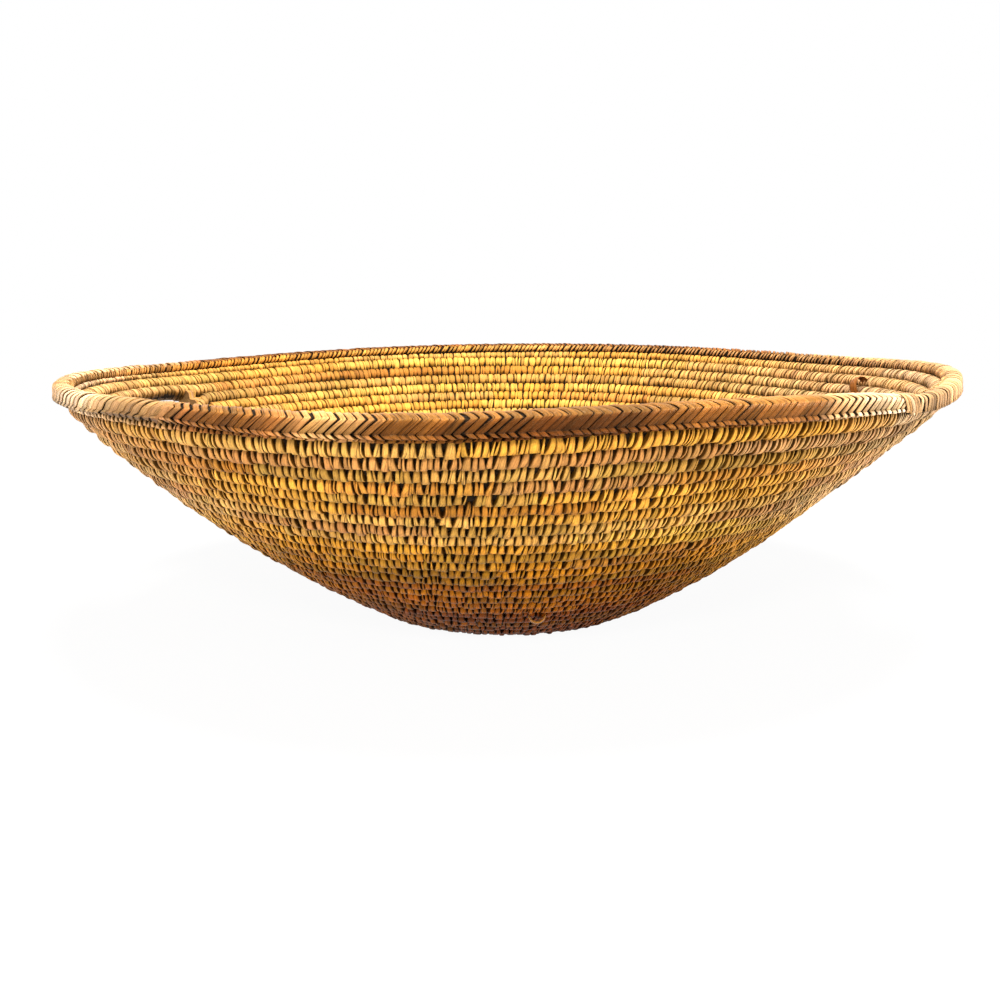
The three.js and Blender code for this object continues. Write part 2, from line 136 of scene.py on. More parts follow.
def warp(s, angle):
    """How far the wall is raised by the rim's heights and by the dent in the right side."""
    share = np.maximum(0, (s - FOOT_END) / (RIM_S - FOOT_END))
    across_dent = np.maximum(0, np.cos(angle - DENT_ANGLE)) ** DENT_NARROWNESS
    up_dent = np.sin(math.pi * np.minimum(1, share) ** DENT_HEIGHT_POWER) ** 2
    return rim_height(angle) * share**WARP_POWER + DENT_LIFT * across_dent * up_dent


def place(s, n, angle):
    """Points at s along the wall, n through it towards the inside, and an angle round the basket."""
    radius, height, slope = profile(s)
    outward = radius - n * np.sin(slope)
    up = WALL_THICKNESS / 2 + height + n * np.cos(slope) + warp(s, angle)
    up = np.maximum(up, LEAST_HEIGHT)
    return np.stack(np.broadcast_arrays(outward * np.cos(angle), outward * np.sin(angle), up), -1)


def angle_of_turn(turn):
    return COIL_END_ANGLE + (turn - COIL_TURNS) * FULL_TURN


def turn_share(angle):
    return ((angle - COIL_END_ANGLE) / FULL_TURN) % 1


SLOT_RADIUS = float(profile(KNOT_RADIUS + PITCH * (SLOT_TURN + 0.5))[0])
SLOT_HALF_ANGLE = SLOT_LENGTH / 2 / SLOT_RADIUS
# At the left slot the rows above are squeezed up and the rows below sag less than in the solids
LEFT_SQUEEZE = 4.4
LEFT_EASE = 4.2


def one_openness(angle, slot_angle):
    """How open one slot is at an angle: 1 in its middle, and 0 from its ends on."""
    away = np.abs(np.arctan2(np.sin(angle - slot_angle), np.cos(angle - slot_angle)))
    return 1 - np.minimum(1, away / SLOT_HALF_ANGLE) ** SLOT_CURVE_POWER


def coil_edges(turn, row_turn):
    """The coil's two edges at a turn number. row_turn tells which row it is, as rows sag by whole turns."""
    angle = angle_of_turn(turn)
    left = one_openness(angle, LEFT_SLOT_ANGLE)
    above = row_turn > SLOT_TURN + TURN_TOLERANCE
    below = np.floor(SLOT_TURN - row_turn + TURN_TOLERANCE)
    opening = SLOT_OPENING * one_openness(angle, RIGHT_SLOT_ANGLE) + (SLOT_OPENING - LEFT_EASE) * left
    sag = np.where(above, 0, opening)
    inner_sag = sag * np.maximum(0, 1 - (below + 1) / SLOT_SETTLING_TURNS)
    outer_sag = sag * np.maximum(0, 1 - below / SLOT_SETTLING_TURNS)
    inner = KNOT_RADIUS + PITCH * turn
    outer = inner + PITCH + (TAIL_WIDTH - PITCH) * np.maximum(0, turn - (COIL_TURNS - 1))
    squeeze = np.where(above, LEFT_SQUEEZE * left, 0)
    handle_height = PITCH * HANDLE_TURNS

    def squeezed(s):
        return s + squeeze * np.clip((COIL_EDGE_S - s) / handle_height, 0, 1)

    return squeezed(inner) - inner_sag, squeezed(outer) - outer_sag


def thickness_at(turn):
    taper = np.maximum(0, turn - (COIL_TURNS - 1))
    return WALL_THICKNESS + (TAIL_THICKNESS - WALL_THICKNESS) * taper


def from_table(table, angle, column=1):
    """A value at an angle round the basket. A table's first column is in degrees from +X."""
    degrees = np.degrees(np.arctan2(np.sin(angle), np.cos(angle)))
    return np.interp(degrees, [row[0] for row in table], [row[column] for row in table])


# Meshes are made of many strips at once: values come by strip, by station along it and by place across it
def by_strip(values):
    return values[:, None, None]


def by_station(values):
    return values[None, :, None]


def by_place(values):
    return values[None, None, :]


def strip_faces(stations, across, closed_round):
    """The quads round one strip and the two caps that close it."""
    grid = np.arange(stations * across).reshape(stations, across)
    if closed_round:
        rows, columns = stations, across - 1
        caps = [grid[::-1, 0], grid[:, across - 1]]
    else:
        rows, columns = stations - 1, across
        caps = [grid[0, :], grid[-1, ::-1]]
    quads = [
        [
            grid[i, j],
            grid[i, (j + 1) % across],
            grid[(i + 1) % stations, (j + 1) % across],
            grid[(i + 1) % stations, j],
        ]
        for i in range(rows)
        for j in range(columns)
    ]
    return quads, [list(cap) for cap in caps]


def facing_out(faces, points):
    """The faces of one strip, turned over if they face into it."""
    volume = sum(
        np.dot(points[face[0]], np.cross(points[face[k]], points[face[k + 1]]))
        for face in faces
        for k in range(1, len(face) - 1)
    )
    return [face[::-1] for face in faces] if volume < 0 else faces


def strips_mesh(name, points, tints, fibres, material, closed_round=True):
    """One mesh of many strips. points is strips x stations x places across x 3, in millimetres.

    Where closed_round is true a strip's stations close into a loop and its two sides are capped,
    and otherwise its places across close into a tube and its two ends are capped.
    """
    strips, stations, across, _ = points.shape
    quads, caps = strip_faces(stations, across, closed_round)
    faces = facing_out(quads + caps, points[0].reshape(-1, 3))
    corners = np.array([corner for face in faces for corner in face], np.int32)
    sizes = np.array([len(face) for face in faces], np.int32)
    starts = np.concatenate([[0], np.cumsum(sizes)[:-1]]).astype(np.int32)
    offsets = np.arange(strips, dtype=np.int32)[:, None]
    all_corners = (corners[None, :] + offsets * (stations * across)).ravel()
    all_starts = (starts[None, :] + offsets * len(corners)).ravel()
    mesh = bpy.data.meshes.new(name)
    mesh.vertices.add(strips * stations * across)
    mesh.vertices.foreach_set("co", (points * METRES).astype(np.float32).ravel())
    mesh.loops.add(len(all_corners))
    mesh.loops.foreach_set("vertex_index", all_corners)
    mesh.polygons.add(len(all_starts))
    mesh.polygons.foreach_set("loop_start", all_starts)
    mesh.update(calc_edges=True)
    flat = np.tile(np.array([False] * len(quads) + [True] * len(caps)), strips)
    mesh.attributes.new("sharp_face", "BOOLEAN", "FACE").data.foreach_set("value", flat)
    rgba = np.ones((strips, stations, across, 4), np.float32)
    rgba[..., :3] = tints
    mesh.attributes.new("tint", "FLOAT_COLOR", "POINT").data.foreach_set("color", rgba.ravel())
    fibre = mesh.attributes.new("fibre", "FLOAT_VECTOR", "POINT")
    fibre.data.foreach_set("vector", fibres.astype(np.float32).ravel())
    mesh.materials.append(material)
    piece = bpy.data.objects.new(name, mesh)
    bpy.context.scene.collection.objects.link(piece)
    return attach(piece, "root")


# How far apart the strips lie in the fibres' noise
FIBRE_SPREAD = 400


def fibre_places(points):
    """Millimetres across and along each strip, and a number of its own, for the fibres in the material."""
    strips, stations, _, _ = points.shape
    steps = np.linalg.norm(np.diff(points.mean(axis=2), axis=1), axis=-1)
    along = np.concatenate([np.zeros((strips, 1)), np.cumsum(steps, axis=1)], axis=1)
    sideways = np.linalg.norm(np.diff(points, axis=2), axis=-1)
    wide = np.concatenate([np.zeros((strips, stations, 1)), np.cumsum(sideways, axis=2)], axis=2)
    own = by_strip(rng.uniform(0, FIBRE_SPREAD, strips))
    return np.stack(np.broadcast_arrays(wide + own, along[:, :, None], own), -1)


# Colours of dried splints, as sRGB bytes
PALETTE = {
    "gold": (224, 158, 58),
    "yellow": (234, 178, 76),
    "straw": (218, 162, 78),
    "orange": (212, 142, 54),
    "pink": (198, 138, 72),
    "olive": (190, 140, 60),
    "amber": (190, 122, 40),
    "russet": (168, 102, 44),
    "bark": (136, 80, 26),
    "cream": (246, 204, 156),
    "pale": (228, 176, 118),
    "tan": (206, 152, 92),
    "sand": (214, 164, 112),
    "walnut": (98, 50, 10),
}


def linear(name):
    """A colour of the palette as the shaders take it."""
    srgb = np.array(PALETTE[name], float) / 255
    return np.where(srgb <= 0.04045, srgb / 12.92, ((srgb + 0.055) / 1.055) ** 2.4)


# The rim's colour round the basket: the splints' own colours, with painted shade darkening the front and
# painted light paling the two ends
RIM_COLOURS = [
    (-180, "pale"), (-172, "cream"), (-165, "sand"), (-159, "pale"), (-150, "cream"), (-143, "cream"),
    (-138, "pale"), (-133, "tan"), (-128, "tan"), (-123, "russet"), (-118, "bark"), (-113, "russet"),
    (-107, "tan"), (-102, "bark"), (-98, "bark"), (-90, "walnut"), (-80, "walnut"), (-74, "bark"),
    (-68, "bark"), (-64, "russet"), (-61, "bark"), (-57, "pale"), (-52, "cream"), (-46, "cream"),
    (-40, "sand"), (0, "sand"), (18, "tan"), (40, "bark"), (90, "bark"), (148, "bark"), (156, "tan"),
    (166, "pale"), (180, "pale"),
]
# The colour of the sewing row inside the rim
INNER_COLOURS = [
    (-180, "tan"), (-45, "tan"), (0, "sand"), (60, "tan"), (100, "straw"), (150, "orange"), (180, "tan"),
]


def rim_colour(angles, table):
    known = [(at, *linear(name)) for at, name in table]
    return np.stack([from_table(known, angles, column) for column in (1, 2, 3)], -1)


# Each row's usual splints, counted down from the rim, on the near side and on the far side
NEAR_ROWS = [
    ("tan", "straw"), ("gold", "gold", "straw"), ("pink", "pink", "tan"), ("olive", "straw", "olive"),
    ("gold", "gold", "orange"), ("olive", "gold"), ("gold", "amber"), ("straw", "pink"),
    ("pink", "olive", "straw"), ("yellow", "straw"), ("gold", "yellow"), ("yellow", "pink"),
    ("gold", "pink", "straw"), ("gold", "pink", "olive"), ("gold", "olive"), ("gold", "pink", "amber"),
    ("olive", "gold", "pink"), ("gold", "olive"), ("gold", "amber"), ("olive", "gold"),
    ("olive", "amber"),
]
FAR_ROWS = [
    ("gold", "straw"), ("yellow", "gold"), ("orange", "straw", "gold"), ("olive", "straw"),
    ("yellow", "gold"), ("gold", "straw", "olive"), ("yellow", "gold"), ("straw", "yellow"),
    ("gold", "orange"), ("yellow", "straw"),
]
LOW_FAR_ROW = ("gold", "orange", "straw")
ANY_ROW = ("gold", "orange", "straw", "amber", "pink", "olive")
USUAL_SHARE = 0.86
# The far side begins where the sine of the angle is more than this
FAR_SINE = 0.15
# One splint sews a run of stitches before the next splint takes over
RUN_LENGTHS = (10, 36)
RUN_TONES = (0.9, 1.08)
# How much a stitch differs from its neighbours, and how much more where painted light pales the splints
STITCH_TONE = 0.1
SIDE_LIGHT_TONE = 0.3
TONE_LIMITS = (0.6, 1.45)
HUE_SPREAD = 0.025
# Painted light: how far the splints are paled towards cream round the basket, most at the left and right,
# where the sides catch the light
SIDE_LIGHT_SHARE = [
    (-180, 0.35), (-150, 0.3), (-122, 0), (-58, 0), (-42, 0.4), (-25, 0.62), (15, 0.5), (50, 0.1), (90, 0),
    (150, 0.1), (180, 0.35),
]


def usual_splints(row, far):
    rows = FAR_ROWS if far else NEAR_ROWS
    if row < len(rows):
        return rows[row]
    return LOW_FAR_ROW if far else NEAR_ROWS[-1]


def stitch_tints(turns):
    """A colour for each stitch, before it is shaded."""
    colours = np.empty((len(turns), 3))
    done = 0
    while done < len(turns):
        run = int(rng.integers(*RUN_LENGTHS))
        turn = turns[done]
        far = math.sin(angle_of_turn(turn)) > FAR_SINE
        names = usual_splints(int(COIL_TURNS - turn), far) if rng.random() < USUAL_SHARE else ANY_ROW
        colour = linear(names[int(rng.integers(len(names)))])
        colours[done : done + run] = colour * rng.uniform(*RUN_TONES)
        done += run
    angles = angle_of_turn(turns)
    # Stitches under the near rim take the rim's colours, its painted light and shade included
    under_rim = (turns > COIL_TURNS - 1) & (np.sin(angles) < FAR_SINE)
    colours[under_rim] = rim_colour(angles[under_rim], RIM_COLOURS)
    # Painted light: the splints are paled towards cream where the sides catch the light
    sand = from_table(SIDE_LIGHT_SHARE, angles)[:, None]
    colours = colours * (1 - sand) + linear("cream") * sand
    tone = 1 + rng.normal(0, 1, (len(turns), 1)) * (STITCH_TONE + SIDE_LIGHT_TONE * sand)
    return colours * tone.clip(*TONE_LIMITS) * rng.normal(1, HUE_SPREAD, (len(turns), 3))


# A stitch's way round the coil: S along the wall from the row's lower edge to its upper edge, N through
# the wall, how wide it is there, and its painted light and shade: lit on its bulge, shaded where it tucks
# under the row above and where it turns round the coil's lower edge. It starts under the row above.
STITCH_LOOP = np.array([
    (1.04, -0.18, 0.56, 0.30),
    (0.96, -0.32, 0.62, 0.75),
    (0.85, -0.45, 0.71, 1.00),
    (0.69, -0.545, 0.83, 1.10),
    (0.50, -0.60, 0.91, 1.14),
    (0.32, -0.605, 1.04, 1.04),
    (0.17, -0.565, 1.12, 0.92),
    (0.05, -0.48, 1.18, 0.78),
    (-0.03, -0.37, 1.16, 0.55),
    (-0.07, -0.22, 1.06, 0.25),
    (-0.06, 0.08, 0.80, 0.12),
    (0.01, 0.33, 0.66, 0.50),
    (0.12, 0.46, 0.86, 0.90),
    (0.33, 0.55, 1.05, 1.06),
    (0.62, 0.56, 1.05, 1.08),
    (0.85, 0.47, 0.88, 0.92),
    (0.98, 0.34, 0.64, 0.50),
])
# Across a stitch: shares of half its width, where it is crowned, and the painted shade on its edges, where
# neighbours meet
ACROSS = np.array([-1.0, -0.64, 0.64, 1.0])
CROWN = np.array([0.0, 1.0, 1.0, 0.0])
EDGE_SHADE = np.array([0.2, 1.0, 1.0, 0.2])
STITCH_CROWN = 0.42
# The splints lie closer together on the inside, and less shade is painted on their edges there
INSIDE_EDGE = 0.38
# Shaded splint is browner than lit splint
SHADE_WARMTH = np.array([1.0, 1.12, 1.5])
# Towards the foot the splints are darkened and browned, on the outside more than inside: painted shade where
# the lower wall faces down, with some browning of the splints themselves
FOOT_SHADE_BROWN = np.array([0.47, 0.26, 0.01])
FOOT_SHADE_TURN = 23
FOOT_SHADE_TURNS = 12
INSIDE_FOOT_SHADE = 0.3
STITCH_WIDTH = 3.05
STITCH_WIDTH_SPREAD = 0.19
SLIVER_WIDTH = 1.25
SLIVER_WIDTHS = (0.75, 1.25)
SLIVER_SHARE = 0.22
WIDTH_LIMITS = (0.8, 5.2)
STITCH_GAP = 0.1
MISSING_STITCH = (26, math.radians(-94.3))
# How wide the splints are round the basket, as a share of the usual width
STITCH_SIZE = [
    (-180, 1.22), (-120, 1.15), (-90, 1.05), (-72, 0.96), (-52, 0.78), (-20, 0.74), (20, 0.82), (50, 1.0),
    (90, 1.3), (130, 1.3), (180, 1.22),
]
# How much of the coil the splints cover round the basket
STITCH_COVER = [
    (-180, 0.78), (-145, 0.78), (-122, 0.88), (-112, 0.96), (-80, 0.96), (-66, 0.76), (-52, 0.62),
    (-30, 0.60), (15, 0.68), (50, 0.90), (120, 0.97), (160, 0.90), (180, 0.78),
]
# Each stitch leans, bows and narrows upward in its own way, and its foot and its bulge differ a little
OUTSIDE_LEAN = 1.2
INSIDE_LEAN = -0.2
LEAN_SPREAD = 0.65
LEAN_PIVOT = 0.3
BOW_SPREAD = 0.3
NARROWINGS = (-0.2, 0.36)
FOOT_SPREAD = 0.06
FOOT_SHARE = 0.3
BULGE_SPREAD = 0.055
BULGE_LIMITS = (0.86, 1.12)
# The rows run a little up and down
WAVE_STEP = 0.045
WAVE_SPREAD = 0.32
WAVE_TURNS = np.arange(0, COIL_TURNS, WAVE_STEP)
ROW_WAVE = rng.normal(0, WAVE_SPREAD, len(WAVE_TURNS))


def stitch_stations(first_turn, last_turn):
    """Turn numbers and widths of the stitches along a length of the coil."""
    turns, widths = [], []
    turn = first_turn
    while turn < last_turn:
        if rng.random() < SLIVER_SHARE:
            width = SLIVER_WIDTH * rng.uniform(*SLIVER_WIDTHS)
        else:
            width = STITCH_WIDTH * rng.normal(1, STITCH_WIDTH_SPREAD)
        width *= from_table(STITCH_SIZE, angle_of_turn(turn))
        width = min(max(width, WIDTH_LIMITS[0]), WIDTH_LIMITS[1])
        inner, outer = coil_edges(turn, turn)
        radius = float(profile((inner + outer) / 2)[0])
        step = (width + STITCH_GAP) / (FULL_TURN * radius)
        turns.append(turn + step / 2)
        widths.append(width)
        turn += step
    return np.array(turns), np.array(widths)


def stitch_points(turns, widths):
    count = len(turns)
    s_share, n_share, wide, _ = (by_station(column) for column in STITCH_LOOP.T)
    inner, outer = coil_edges(turns, turns)
    radius = by_strip(profile((inner + outer) / 2)[0])
    cover = from_table(STITCH_COVER, angle_of_turn(turns))
    across = by_place(ACROSS) * wide * by_strip(widths * cover) / 2
    lean = by_strip(rng.normal(0, LEAN_SPREAD, count)) + np.where(n_share < 0, OUTSIDE_LEAN, INSIDE_LEAN)
    bow = by_strip(rng.normal(0, BOW_SPREAD, count)) * np.sin(math.pi * s_share)
    narrowing = 1 - by_strip(rng.uniform(*NARROWINGS, count)) * np.clip(s_share, 0, 1)
    sideways = across * narrowing + lean * (s_share - LEAN_PIVOT) + bow
    turn = by_strip(turns) + sideways / (FULL_TURN * radius)
    low, high = coil_edges(turn, by_strip(turns))
    foot = by_strip(rng.normal(0, FOOT_SPREAD, count)) * (s_share < FOOT_SHARE)
    wave = by_strip(np.interp(turns, WAVE_TURNS, ROW_WAVE))
    bulge = by_strip(rng.normal(1, BULGE_SPREAD, count).clip(*BULGE_LIMITS))
    crown = STITCH_CROWN * by_place(CROWN) * by_strip(np.minimum(1, widths / STITCH_WIDTH))
    n = n_share * thickness_at(turn) * bulge + crown * np.sign(n_share)
    return place(low + (high - low) * (s_share + foot) + wave, n, angle_of_turn(turn))


def stitch_colours(colours, turns):
    """The stitches' colours with painted shade at their edges and ends, and more painted shade, with some
    browning, towards the foot.
    """
    _, n_share, _, loop_shade = (by_station(column) for column in STITCH_LOOP.T)
    edge_shade = by_place(EDGE_SHADE)
    shade = loop_shade * np.where(n_share > 0, edge_shade**INSIDE_EDGE, edge_shade)
    near_foot = by_strip(np.clip((FOOT_SHADE_TURN - turns) / FOOT_SHADE_TURNS, 0, 1))
    foot_shade = near_foot * np.where(n_share < 0, 1, INSIDE_FOOT_SHADE)
    return colours[:, None, None, :] * shade[..., None] ** SHADE_WARMTH * FOOT_SHADE_BROWN ** foot_shade[..., None]


def new_node(tree, kind, **settings):
    node = tree.nodes.new(kind)
    for key, item in settings.items():
        setattr(node, key, item)
    return node


def new_material(name, roughness, shine):
    """A material with one plain shader, its node tree and that shader."""
    material = bpy.data.materials.new(name)
    material.use_nodes = True
    tree = material.node_tree
    tree.nodes.clear()
    output = new_node(tree, "ShaderNodeOutputMaterial")
    shader = new_node(tree, "ShaderNodeBsdfPrincipled")
    shader.inputs["Specular IOR Level"].default_value = shine
    shader.inputs["Roughness"].default_value = roughness
    tree.links.new(shader.outputs[0], output.inputs["Surface"])
    return material, tree, shader


def stretched_noise(tree, vector, stretch, detail, scale=1.0):
    """Noise that changes at its own pace across a strip, along it and from strip to strip."""
    mapping = new_node(tree, "ShaderNodeMapping")
    mapping.inputs["Scale"].default_value = stretch
    tree.links.new(vector, mapping.inputs["Vector"])
    texture = new_node(tree, "ShaderNodeTexNoise")
    texture.inputs["Scale"].default_value = scale
    texture.inputs["Detail"].default_value = detail
    tree.links.new(mapping.outputs[0], texture.inputs["Vector"])
    return texture.outputs["Fac"]


def add_bumps(tree, shader, height, strength, metres_high):
    bumps = new_node(tree, "ShaderNodeBump")
    bumps.inputs["Strength"].default_value = strength
    bumps.inputs["Distance"].default_value = metres_high
    tree.links.new(height, bumps.inputs["Height"])
    tree.links.new(bumps.outputs[0], shader.inputs["Normal"])


def splint_material(name, roughness, shine, streaks, bump, blotch, split_shade):
    """Dried plant splint: its own tint, long fibres, small dark flecks and slow stains."""
    material, tree, shader = new_material(name, roughness, shine)
    shader.inputs["Specular Tint"].default_value = (1, 0.78, 0.46, 1)
    tint = new_node(tree, "ShaderNodeAttribute", attribute_name="tint").outputs["Color"]
    fibre = new_node(tree, "ShaderNodeAttribute", attribute_name="fibre").outputs["Vector"]
    room = new_node(tree, "ShaderNodeTexCoord").outputs["Object"]

    def layer(vector, stretch, detail, low, high, from_low=0.3, from_high=0.7, scale=1.0):
        spread = new_node(tree, "ShaderNodeMapRange")
        spread.inputs["From Min"].default_value = from_low
        spread.inputs["From Max"].default_value = from_high
        spread.inputs["To Min"].default_value = low
        spread.inputs["To Max"].default_value = high
        tree.links.new(stretched_noise(tree, vector, stretch, detail, scale), spread.inputs["Value"])
        return spread.outputs["Result"]

    long_fibres = layer(fibre, (2.1, 0.10, 1.0), 2.5, low=1 - streaks, high=1 + streaks * 0.45)
    fine_fibres = layer(fibre, (6.5, 0.22, 1.0), 2.0, low=1 - streaks * 0.5, high=1 + streaks * 0.3)
    flecks = layer(fibre, (1.3, 0.9, 1.0), 3.0, low=0.84, high=1.08)
    stains = layer(room, (1.0, 1.0, 1.0), 3.0, low=1 - blotch, high=1 + blotch * 0.4, scale=22.0)
    splits = layer(fibre, (1.5, 0.05, 1.0), 1.0, low=split_shade, high=1.0, from_low=0.30, from_high=0.37)
    colour = tint
    for shade in (long_fibres, fine_fibres, flecks, stains, splits):
        product = new_node(tree, "ShaderNodeVectorMath", operation="MULTIPLY")
        tree.links.new(colour, product.inputs[0])
        tree.links.new(shade, product.inputs[1])
        colour = product.outputs[0]
    tree.links.new(colour, shader.inputs["Base Color"])
    ridges = layer(fibre, (3.2, 0.14, 1.0), 3.0, low=0.0, high=1.0)
    add_bumps(tree, shader, ridges, strength=bump, metres_high=0.0004)
    return material


def grass_material(name, dark, light):
    """The grass bundle that shows between the splints, coloured near black as painted shade for the gaps."""
    material, tree, shader = new_material(name, roughness=0.9, shine=0.15)
    fibre = new_node(tree, "ShaderNodeAttribute", attribute_name="fibre").outputs["Vector"]
    blades = stretched_noise(tree, fibre, (2.4, 0.2, 1.0), 3.0)
    ramp = new_node(tree, "ShaderNodeValToRGB")
    ramp.color_ramp.elements[0].position = 0.35
    ramp.color_ramp.elements[0].color = (*dark, 1)
    ramp.color_ramp.elements[1].position = 0.7
    ramp.color_ramp.elements[1].color = (*light, 1)
    tree.links.new(blades, ramp.inputs["Fac"])
    tree.links.new(ramp.outputs[0], shader.inputs["Base Color"])
    add_bumps(tree, shader, blades, strength=0.8, metres_high=0.0006)
    return material


splint = splint_material(
    "sewing_splint", roughness=0.5, shine=0.15, streaks=0.3, bump=0.6, blotch=0.2, split_shade=0.35
)
rim_splint = splint_material(
    "rim_splint", roughness=0.36, shine=0.22, streaks=0.36, bump=0.7, blotch=0.3, split_shade=0.3
)
# The grass is the coil's real core, coloured near black as painted shade in the gaps between the splints
grass = grass_material("shade_dark_grass_bundle", dark=(0.006, 0.0035, 0.0015), light=(0.03, 0.017, 0.007))

# The coil's grass: shares of the row's height and of the wall's thickness, round the bundle
CORE_STEPS_PER_TURN = 96
CORE_LOOP = np.array([
    (-0.03, 0.0), (0.10, -0.27), (0.5, -0.40), (0.90, -0.27), (1.03, 0.0), (0.90, 0.27), (0.5, 0.40),
    (0.10, 0.27),
])
GRASS_SHADE_TINT = 0.02


def grass_mesh(name, points):
    tints = np.full((*points.shape[:3], 3), GRASS_SHADE_TINT)
    return strips_mesh(name, points, tints, fibre_places(points), grass, closed_round=False)


def core_piece(name, first_turn, last_turn, *nodes):
    count = int((last_turn - first_turn) * CORE_STEPS_PER_TURN) + 1
    turns = np.linspace(first_turn, last_turn, count)[:, None]
    low, high = coil_edges(turns, np.minimum(turns, last_turn - TURN_TOLERANCE))
    s_share, n_share = CORE_LOOP.T
    s = low + (high - low) * s_share[None, :]
    points = place(s, n_share[None, :] * thickness_at(turns), angle_of_turn(turns))[None]
    piece = grass_mesh(name, points)
    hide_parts(*nodes)


def stitch_piece(name, first_turn, last_turn, slot):
    turns, widths = stitch_stations(first_turn, last_turn)
    row, missing_angle = MISSING_STITCH
    missing_turn = row + turn_share(missing_angle)
    if first_turn <= missing_turn < last_turn:
        keep = np.arange(len(turns)) != np.argmin(np.abs(turns - missing_turn))
        turns, widths = turns[keep], widths[keep]
    points = stitch_points(turns, widths)
    tints = stitch_colours(stitch_tints(turns), turns)
    piece = strips_mesh(name, points, tints, fibre_places(points), splint)


# The sewn coil, row by row from the middle of the base. Its last turn runs out just before the end, and
# the stitches of both walls are in pieces of a few turns each.
GRASS_END = COIL_TURNS - 0.01
STITCHES_END = COIL_TURNS - 0.015
LOWER_WALL_SPLIT = 13
UPPER_WALL_SPLITS = (22, 26)

core_piece("base_grass", 0, BASE_TURNS, "base_coil")
core_piece("lower_wall_grass", BASE_TURNS, LOWER_WALL_END, "lower_wall_coil")
core_piece("upper_wall_grass", LOWER_WALL_END, SLOT_TURN, "upper_wall_coil")
core_piece("handle_grass", SLOT_TURN, GRASS_END, "handle_coil")
stitch_piece("base_stitches", 0, BASE_TURNS, "straw")
stitch_piece("lower_wall_stitches_1", BASE_TURNS, LOWER_WALL_SPLIT, "golden_straw")
stitch_piece("lower_wall_stitches_2", LOWER_WALL_SPLIT, LOWER_WALL_END, "golden_straw")
stitch_piece("upper_wall_stitches_1", LOWER_WALL_END, UPPER_WALL_SPLITS[0], "straw")
stitch_piece("upper_wall_stitches_2", *UPPER_WALL_SPLITS, "straw")
stitch_piece("upper_wall_stitches_3", UPPER_WALL_SPLITS[1], SLOT_TURN, "straw")
stitch_piece("handle_stitches", SLOT_TURN, STITCHES_END, "golden_straw")

# The start of the coil: splints wrapped from a small hole outward
KNOT_STITCHES = 19
KNOT_STITCH_SHARE = 0.92
KNOT_HOLE = 1.1
KNOT_TONE = 0.08


def knot_piece():
    share = (np.arange(KNOT_STITCHES) + 0.5) / KNOT_STITCHES
    s_share, n_share, _, _ = (by_station(column) for column in STITCH_LOOP.T)
    turn = by_strip(share) + by_place(ACROSS) * (KNOT_STITCH_SHARE / 2 / KNOT_STITCHES)
    reach = KNOT_RADIUS + PITCH * turn
    s = KNOT_HOLE + (reach - KNOT_HOLE) * np.clip(s_share, 0, 1)
    n = n_share * WALL_THICKNESS + STITCH_CROWN * by_place(CROWN) * np.sign(n_share)
    points = place(s, n, COIL_END_ANGLE + turn * FULL_TURN)
    colours = np.tile(linear("straw"), (KNOT_STITCHES, 1)) * rng.normal(1, KNOT_TONE, (KNOT_STITCHES, 1))
    tints = stitch_colours(colours, np.zeros(KNOT_STITCHES))
    piece = strips_mesh("start_stitches", points, tints, fibre_places(points), splint)
    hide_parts("starting_knot")


knot_piece()

# The rim: x outward and y up from the middle of its upright section. It is thinner along the left side and
# after its end: its size there and how far it is shifted up.
RIM_THINNING = [
    (-180, 0.95, 0.0), (-160, 0.90, -0.3), (-145, 0.86, -0.6), (-140, 0.84, -0.2), (-134, 0.76, 0.9),
    (-125, 0.76, 1.05), (-119, 0.90, 0.45), (-113, 1.0, 0.0), (-62, 1.0, 0.0), (-52.5, 0.93, -0.4),
    (-48.5, 0.85, -1.1), (-45.2, 0.74, -1.8), (-44.6, 0.80, -2.3), (-38, 0.80, -2.4), (-28, 0.86, -1.5),
    (-18, 0.95, -0.5), (-8, 1.0, 0.0), (165, 1.0, 0.0), (180, 0.95, 0.0),
]
# How far towards the coil a point of the rim keeps its place, and how far it still moves freely
RIM_HELD_FROM = 2.6
RIM_HELD_TO = 1.2


def rim_points(x, y, angle, share):
    towards_coil = -x * math.cos(RIM_ANGLE) - y * math.sin(RIM_ANGLE)
    free = np.clip((RIM_HELD_FROM - towards_coil) / (RIM_HELD_FROM - RIM_HELD_TO), 0, 1)
    scale = 1 + (from_table(RIM_THINNING, angle, 1) - 1) * free
    shift = from_table(RIM_THINNING, angle, 2) * free
    radius = RIM_RADIUS + x * scale
    middle = WALL_THICKNESS / 2 + float(profile(RIM_S)[1]) + warp(RIM_S, angle)
    up = middle + y * scale + shift + RIM_END_LIFT * share
    return np.stack(np.broadcast_arrays(radius * np.cos(angle), radius * np.sin(angle), up), -1)


